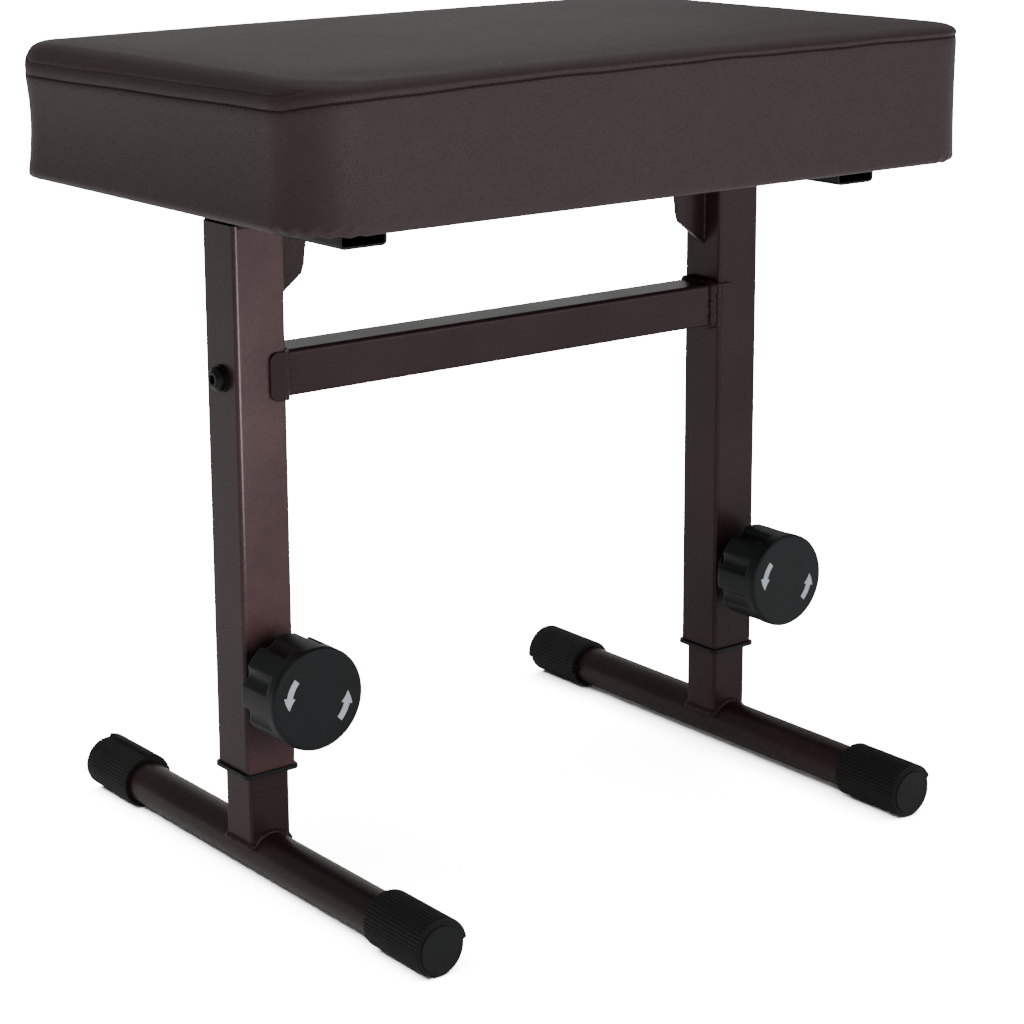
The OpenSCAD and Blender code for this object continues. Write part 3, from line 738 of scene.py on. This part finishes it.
def lay_stitches(name, line, normal, spacing, settings, keep=None):
    """A row of stitches along a line on the cushion: short bows of thread, each a bent, closed tube.

    Along a stitch the tube's middle rises as half a sine and dives at both ends, and its radius is a
    superellipse, so that each end is closed.
    """
    step = np.linalg.norm(np.diff(line, axis=0, append=line[:1]), axis=1)
    s = np.concatenate([[0], np.cumsum(step)])
    if keep is None:
        starts = np.arange(0, s[-1] - spacing / 2, s[-1] / round(s[-1] / spacing))
    else:
        starts = np.arange(keep[0], keep[1] - spacing, spacing)
    around, along = 6, 6
    turns = np.linspace(0, 2 * math.pi, around, endpoint=False)
    u = np.linspace(0, 1, along)
    at = starts[:, None] + settings.length * u[None, :]
    closed_line, closed_normal = np.vstack([line, line[:1]]), np.vstack([normal, normal[:1]])
    centre = np.stack([np.interp(at % s[-1], s, closed_line[:, k]) for k in range(3)], -1)
    out = np.stack([np.interp(at % s[-1], s, closed_normal[:, k]) for k in range(3)], -1)
    out /= np.linalg.norm(out, axis=-1, keepdims=True)
    tangent = np.gradient(centre, axis=1)
    tangent /= np.linalg.norm(tangent, axis=-1, keepdims=True)
    across = np.cross(tangent, out)
    radius = settings.thread / 2 * np.clip(1 - np.abs(2 * u - 1) ** 4, 0.0, 1) ** 0.5
    lift = settings.thread * 0.55 * np.sin(u * math.pi) - settings.thread * 0.25
    slant = settings.thread * 0.5 * (u - 0.5)
    middle = centre + out * lift[None, :, None] + across * slant[None, :, None]
    spoke = (np.cos(turns)[None, None, :, None] * out[:, :, None]
             + np.sin(turns)[None, None, :, None] * across[:, :, None])
    points = middle[:, :, None] + radius[None, :, None, None] * spoke
    one = grid_faces(along, around, wrap_columns=True)
    faces = (one[None] + (np.arange(len(starts)) * along * around)[:, None, None]).reshape(-1, 4)
    piece = add_piece(name, points, faces, "upper_frame", finish("thread"))
    merge_doubles(piece, 2e-6)


class BENCH_OT_cushion(bpy.types.Operator):
    """Build the padded leather cushion, swollen by a cloth simulation, with its seam and stitching"""
    bl_idname = "bench.cushion"
    bl_label = "Cushion and stitching"

    def execute(self, context):
        settings, stitch = context.scene.bench_cushion, context.scene.bench_stitches
        points, parts = cushion_surface(settings, settings.columns)
        rows, columns = points.shape[:2]
        faces = grid_faces(rows, columns, wrap_columns=True)
        cushion = add_piece("leather_cushion", points, faces, "upper_frame", finish("leather"))
        swell_by_simulation(cushion, settings)
        points = read_points(cushion.data).reshape(rows, columns, 3)
        normals = grid_normals(points)
        points = points + normals * seam_relief(points, parts, settings)[..., None]
        cushion.data.vertices.foreach_set("co", points.ravel())
        merge_doubles(cushion)
        names = np.array([p for p, t in parts])
        seam_rows = np.flatnonzero(names == "seam")
        stitch_row = seam_rows[len(seam_rows) // 2]
        lay_stitches("seam_thread", points[stitch_row], normals[stitch_row], stitch.pitch, stitch)
        self.second_row(points, normals, names, settings, stitch)
        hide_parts("seat_cover", "seat_foam")
        return {"FINISHED"}

    def second_row(self, points, normals, names, settings, stitch):
        """Lays the second row over the left end, where the surface crosses the row's height."""
        side = np.flatnonzero(np.isin(names, SIDE_PARTS))
        z = points[side, :, 2]
        base = points[side[0]]
        goal = COVER_LOW[2] + seam_height(base[:, 0], base[:, 1], settings) + settings.second_row
        upper = np.clip(np.argmax(z > goal[None, :], axis=0), 1, len(side) - 1)
        columns = np.arange(points.shape[1])
        z0, z1 = z[upper - 1, columns], z[upper, columns]
        t = ((goal - z0) / np.maximum(z1 - z0, 1e-9))[:, None]
        line = points[side[upper - 1], columns] * (1 - t) + points[side[upper], columns] * t
        normal = normals[side[upper], columns]
        inside = np.flatnonzero(line[:, 0] < SECOND_ROW_END)
        first = inside[0]
        line, normal = np.roll(line, -first, axis=0), np.roll(normal, -first, axis=0)
        run = np.linalg.norm(np.diff(line[:len(inside)], axis=0), axis=1).sum()
        lay_stitches("second_row_thread", line, normal, stitch.pitch * 0.8, stitch, (0, run))


# ---------------------------------------------------------------- frame

class BENCH_OT_finishes(bpy.types.Operator):
    """Give every frame node its finish"""
    bl_idname = "bench.finishes"
    bl_label = "Frame finishes"

    def execute(self, context):
        both = lambda *names: [side + "_" + name for name in names for side in SIDES]
        paint_nodes(finish("brown_paint"), "crossbar",
                    *both("outer_tube", "inner_tube", "foot_tube", "saddle", "gusset", "boss"))
        paint_nodes(finish("black_paint"), *both("channel"))
        paint_nodes(finish("black_steel"), "seat_bolts", "crossbar_bolts", "crossbar_washers")
        paint_nodes(finish("zinc_steel"), "cover_staples", "tee_nuts", "crossbar_nuts",
                    *both("pin_housing", "spring_retainer", "pin_spring", "lock_pin"))
        paint_nodes(finish("cap_rubber"), *both("front_cap", "rear_cap"))
        paint_nodes(finish("knob_plastic"), *both("knob"))
        paint_nodes(finish("glide_plastic"), *both("guide_sleeve", "top_glide"))
        paint_nodes(finish("dust_cloth"), "dust_cover")
        paint_nodes(finish("plywood"), "seat_board")
        return {"FINISHED"}


def add_bead(name, path, out, side, body, settings, closed=False, scale=1.0):
    """A painted weld bead along a path of points, with a ripple along it; an open one ends in two fans."""
    rings = swept_bead(path, out, side, settings.width * scale, settings.height * scale, closed)
    rows, columns = rings.shape[:2]
    faces = grid_faces(rows, columns, wrap_rows=closed, wrap_columns=True).tolist()
    points = rings.reshape(-1, 3)
    if not closed:
        points = np.vstack([points, path[:1], path[-1:]])
        i = np.arange(columns)
        after = (i + 1) % columns
        last = (rows - 1) * columns
        first_fan = np.column_stack([after, i, np.full(columns, len(points) - 2)])
        last_fan = np.column_stack([last + i, last + after, np.full(columns, len(points) - 1)])
        faces += first_fan.tolist() + last_fan.tolist()
    piece = add_piece(name, points, faces, body, finish("brown_paint"))
    merge_doubles(piece, 1e-7)


def straight(a, b, count):
    """Evenly spaced points from a to b."""
    t = np.linspace(0, 1, count)[:, None]
    return np.asarray(a) * (1 - t) + np.asarray(b) * t


def same(vector, count):
    """One unit vector repeated along a path."""
    v = np.asarray(vector, float)
    return np.tile(v / np.linalg.norm(v), (count, 1))


SADDLE_BEAD_SCALE = {"left": 0.85, "right": 1.8}


class BENCH_OT_welds(bpy.types.Operator):
    """Lay the weld beads of the pin bosses, saddles, channels, gussets and feet"""
    bl_idname = "bench.welds"
    bl_label = "Weld beads"

    def execute(self, context):
        settings = context.scene.bench_welds
        for side in SIDES:
            self.boss(side, settings)
            self.saddle(side, settings)
            self.channel(side, settings)
            self.gusset(side, settings)
            self.foot(side, settings)
        return {"FINISHED"}

    def boss(self, side, settings):
        """A full circle where the boss meets the tube's front face."""
        low, high = box_of(side + "_boss")
        centre, radius = (low + high) / 2, (high[0] - low[0]) / 2 + 0.6 * MM
        a = np.linspace(0, 2 * math.pi, 120, endpoint=False)
        radial = np.stack([np.cos(a), np.zeros_like(a), np.sin(a)], -1)
        path = [centre[0], high[1], centre[2]] + radial * radius
        add_bead(side + "_boss_weld", path, radial, same((0, -1, 0), len(a)), "upper_frame", settings, True,
                 scale=1.25)

    def saddle(self, side, settings):
        """A square run round the crossbar where it meets the saddle."""
        low, high = box_of("crossbar")
        sign = -1 if side == "left" else 1
        x = (low if side == "left" else high)[0] - sign * 0.4 * MM
        half = (high - low)[1:] / 2
        count = 140
        outline, normal = rounded_outline(half[0], half[1], 2.5 * MM, count)
        centre = (high + low)[1:] / 2
        path = np.column_stack([np.full(count, x), outline + centre])
        out = np.column_stack([np.zeros(count), normal])
        add_bead(side + "_saddle_weld", path, out, same((-sign, 0, 0), count), "upper_frame", settings, True,
                 SADDLE_BEAD_SCALE[side])

    def channel(self, side, settings):
        """Two short runs across the leg's front and rear faces, under the channel."""
        low, high = box_of(side + "_outer_tube")
        count, inset = 60, 2 * MM
        for face, y, out in (("front", low[1], (0, -1, 0)), ("rear", high[1], (0, 1, 0))):
            path = straight((low[0] + inset, y, high[2]), (high[0] - inset, y, high[2]), count)
            add_bead(f"{side}_channel_weld_{face}", path, same(out, count), same((0, 0, 1), count),
                     "upper_frame", settings)

    def gusset(self, side, settings):
        """A run up each face of the gusset plate, in the corner with the leg."""
        low, high = box_of(side + "_gusset")
        sign = 1 if side == "left" else -1
        x = low[0] if side == "left" else high[0]
        count, half_plate = 90, 1.5 * MM
        for face, way in (("front", -1), ("rear", 1)):
            y = way * half_plate
            path = straight((x, y, low[2] + 2 * MM), (x, y, high[2] - 18 * MM), count)
            add_bead(f"{side}_gusset_weld_{face}", path, same((sign, way, 0), count),
                     same((sign, -way, 0), count), "upper_frame", settings, scale=0.8)

    def foot(self, side, settings):
        """A square run round the inner tube, bent over the round foot tube under it."""
        low, high = box_of(side + "_inner_tube")
        foot_low, foot_high = box_of(side + "_foot_tube")
        centre, radius = (low + high) / 2, (foot_high[2] - foot_low[2]) / 2
        half = (high - low)[:2] / 2
        count = 160
        outline, normal = rounded_outline(half[0], half[1], 2 * MM, count)
        z = (foot_low[2] + foot_high[2]) / 2 + np.sqrt(np.maximum(radius ** 2 - outline[:, 0] ** 2, 0))
        z = np.maximum(z, low[2] + 1 * MM)
        path = np.column_stack([outline + centre[:2], z])
        out = np.column_stack([normal * 0.7, np.full(count, 0.7)])
        across = np.cross(out, np.gradient(path, axis=0))
        across /= np.linalg.norm(across, axis=1, keepdims=True)
        add_bead(side + "_foot_weld", path, out, across, side + "_lower_leg", settings, True, 1.1)


ARROWS = (("left", 136, 188), ("right", -46, 4))  # name, and the angles in degrees of its tail and its tip
BAND_STEPS, HEAD_STEPS = 26, 8
ARROW_ROOT = 0.05 * MM                  # how deep the print starts under the face
ARROW_TIP = 0.02 * MM                   # half width left at the point


def curved_arrow(centre, radius, start, end, band, head, proud):
    """A flat curved arrow facing -Y, as a closed thin slab.

    Its middle line is an arc; its half width is steady, then jumps to the head's and falls to a point.
    """
    neck = end - np.sign(end - start) * head * 0.95 / radius
    a = np.concatenate([np.linspace(start, neck, BAND_STEPS), np.linspace(neck, end, HEAD_STEPS)])
    half = np.concatenate([np.full(BAND_STEPS, band / 2), np.linspace(head / 2, ARROW_TIP, HEAD_STEPS)])
    rows = []
    for edge, depth in ((-1, ARROW_ROOT), (-1, -proud), (1, -proud), (1, ARROW_ROOT)):
        r = radius + edge * half
        rows.append(np.stack([centre[0] + r * np.cos(a), np.full_like(a, centre[1] + depth),
                              centre[2] + r * np.sin(a)], -1))
    return np.array(rows)


class BENCH_OT_knob_marks(bpy.types.Operator):
    """Print the two curved arrows on each knob's face"""
    bl_idname = "bench.knob_marks"
    bl_label = "Knob marks"

    def execute(self, context):
        s = context.scene.bench_marks
        for side in SIDES:
            low, high = box_of(side + "_knob")
            centre = np.array([(low[0] + high[0]) / 2, low[1], (low[2] + high[2]) / 2])
            for name, start, end in ARROWS:
                rows = curved_arrow(centre, s.radius, math.radians(start), math.radians(end), s.band, s.head,
                                    s.proud)
                count, columns = rows.shape[:2]
                firsts = np.arange(count) * columns
                faces = np.vstack([grid_faces(count, columns, wrap_rows=True), firsts,
                                   firsts[::-1] + columns - 1])
                piece = add_piece(f"{side}_knob_arrow_{name}", rows, faces, side + "_pull_knob",
                                  finish("ink"), smooth=False)
                merge_doubles(piece, 1e-7, smooth=False)
        return {"FINISHED"}


# ---------------------------------------------------------------- studio

# name: place, target, side of the square, watts
LAMPS = {
    "overhead": ((0.0, 0.4, 3.2), (0, 0, 0.2), 3.0, 30),
    "front_left": ((-2.0, -2.4, 0.7), (0, 0, 0.3), 0.5, 1.8),
    "front_right": ((1.2, -3.0, 1.5), (0, 0, 0.3), 1.6, 4),
    "low_front": ((1.25, -1.9, 0.45), (0, 0, 0.3), 0.8, 6),
    "near_leg": ((-0.26, -0.75, 0.28), (-0.18, 0, 0.28), 0.35, 1.0),
    "leg_accent": ((-0.17, -0.37, 0.22), (-0.18, 0, 0.22), 0.2, 2.4),
    "back": ((1.3, 2.4, 0.9), (0, 0, 0.35), 1.6, 2.5),
    "floor_wash": ((0.0, 0.0, 7.0), (0, 0, 0), 14.0, 36000),
}
ROOM_LIGHT, ROOM_SEEN = 0.30, 6.0       # strength of the room to the object, and to the camera
FLOOR_DROP = 0.2 * MM


class BENCH_OT_studio(bpy.types.Operator):
    """Set up the floor, the soft lights and the camera"""
    bl_idname = "bench.studio"
    bl_label = "Studio"

    def execute(self, context):
        s = context.scene.bench_studio
        floor = self.floor(s)
        self.world(context.scene)
        lamps = {name: self.lamp(name, *row) for name, row in LAMPS.items()}
        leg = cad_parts["left_outer_tube"]
        for lamp, lit in ((lamps["floor_wash"], floor), (lamps["leg_accent"], leg)):
            only = bpy.data.collections.new(lamp.name + "_only")
            only.objects.link(lit)
            lamp.light_linking.receiver_collection = only
        self.camera(context.scene, s)
        return {"FINISHED"}

    def floor(self, s):
        """A flat grid just under the feet."""
        edge = np.linspace(-s.floor_size / 2, s.floor_size / 2, 9)
        x, y = np.meshgrid(edge, edge)
        points = np.stack([x, y, np.full_like(x, -FLOOR_DROP)], -1)
        floor = new_object("studio_floor", points, grid_faces(len(edge), len(edge)))
        floor.data.materials.append(finish("floor"))
        return floor

    def world(self, scene):
        """An even pale room, brighter to the eye than to the object."""
        world = bpy.data.worlds.new("studio_world")
        world.use_nodes = True
        tree = world.node_tree
        background = next(n for n in tree.nodes if n.type == "BACKGROUND")
        path = tree.nodes.new("ShaderNodeLightPath")
        level = tree.nodes.new("ShaderNodeMapRange")
        level.inputs["To Min"].default_value = ROOM_LIGHT
        level.inputs["To Max"].default_value = ROOM_SEEN
        tree.links.new(path.outputs["Is Camera Ray"], level.inputs["Value"])
        tree.links.new(level.outputs[0], background.inputs["Strength"])
        background.inputs["Color"].default_value = (1, 1, 1, 1)
        scene.world = world

    def lamp(self, name, place, target, size, power):
        """A square soft light that faces a target."""
        data = bpy.data.lights.new(name, "AREA")
        data.shape, data.size, data.energy = "SQUARE", size, power
        lamp = bpy.data.objects.new(name, data)
        bpy.context.scene.collection.objects.link(lamp)
        lamp.visible_camera = False
        lamp.location = place
        away = np.array(place, float) - np.array(target)
        away /= np.linalg.norm(away)
        side = np.cross((0, 0, 1), away)
        length = np.linalg.norm(side)
        side = side / length if length > 1e-6 else np.array((1.0, 0, 0))
        up = np.cross(away, side)
        lamp.rotation_euler = Matrix([[side[k], up[k], away[k]] for k in range(3)]).to_euler()
        return lamp

    def camera(self, scene, s):
        """Looks along a heading and a tilt, then turns about its line of sight."""
        data = bpy.data.cameras.new("camera")
        data.sensor_width, data.lens, data.shift_y = 36.0, s.lens, s.shift
        data.clip_end = 200
        camera = bpy.data.objects.new("camera", data)
        scene.collection.objects.link(camera)
        forward = np.array([math.sin(s.heading) * math.cos(s.tilt), math.cos(s.heading) * math.cos(s.tilt),
                            -math.sin(s.tilt)])
        right = np.array([math.cos(s.heading), -math.sin(s.heading), 0.0])
        up = np.cross(right, forward)
        r = right * math.cos(s.roll) + up * math.sin(s.roll)
        u = -right * math.sin(s.roll) + up * math.cos(s.roll)
        turn = Matrix([[r[k], u[k], -forward[k]] for k in range(3)]).to_4x4()
        camera.matrix_world = Matrix.Translation(tuple(s.camera)) @ turn
        scene.camera = camera


# ---------------------------------------------------------------- add-on

OPERATORS = (BENCH_OT_studio, BENCH_OT_finishes, BENCH_OT_cushion, BENCH_OT_welds, BENCH_OT_knob_marks)
GROUPS = {
    "bench_finishes": BenchFinishSettings,
    "bench_cushion": BenchCushionSettings,
    "bench_stitches": BenchStitchSettings,
    "bench_welds": BenchWeldSettings,
    "bench_marks": BenchMarkSettings,
    "bench_studio": BenchStudioSettings,
}


class BENCH_PT_panel(bpy.types.Panel):
    """Lists the bench's pieces and their settings"""
    bl_idname = "BENCH_PT_panel"
    bl_label = "Keyboard Bench"
    bl_space_type = "VIEW_3D"
    bl_region_type = "UI"
    bl_category = "Bench"

    def draw(self, context):
        for operator in OPERATORS:
            self.layout.operator(operator.bl_idname)
        for name, group in GROUPS.items():
            box = self.layout.box()
            box.label(text=name.replace("_", " ").capitalize())
            for key in group.__annotations__:
                box.prop(getattr(context.scene, name), key)


def register():
    for group in GROUPS.values():
        bpy.utils.register_class(group)
    for name, group in GROUPS.items():
        setattr(bpy.types.Scene, name, PointerProperty(type=group))
    for operator in OPERATORS:
        bpy.utils.register_class(operator)
    bpy.utils.register_class(BENCH_PT_panel)


def unregister():
    bpy.utils.unregister_class(BENCH_PT_panel)
    for operator in reversed(OPERATORS):
        bpy.utils.unregister_class(operator)
    for name, group in GROUPS.items():
        delattr(bpy.types.Scene, name)
        bpy.utils.unregister_class(group)


def main():
    register()
    bpy.ops.bench.studio()
    bpy.ops.bench.finishes()
    bpy.ops.bench.cushion()
    bpy.ops.bench.welds()
    bpy.ops.bench.knob_marks()


if __name__ == "__main__":
    main()
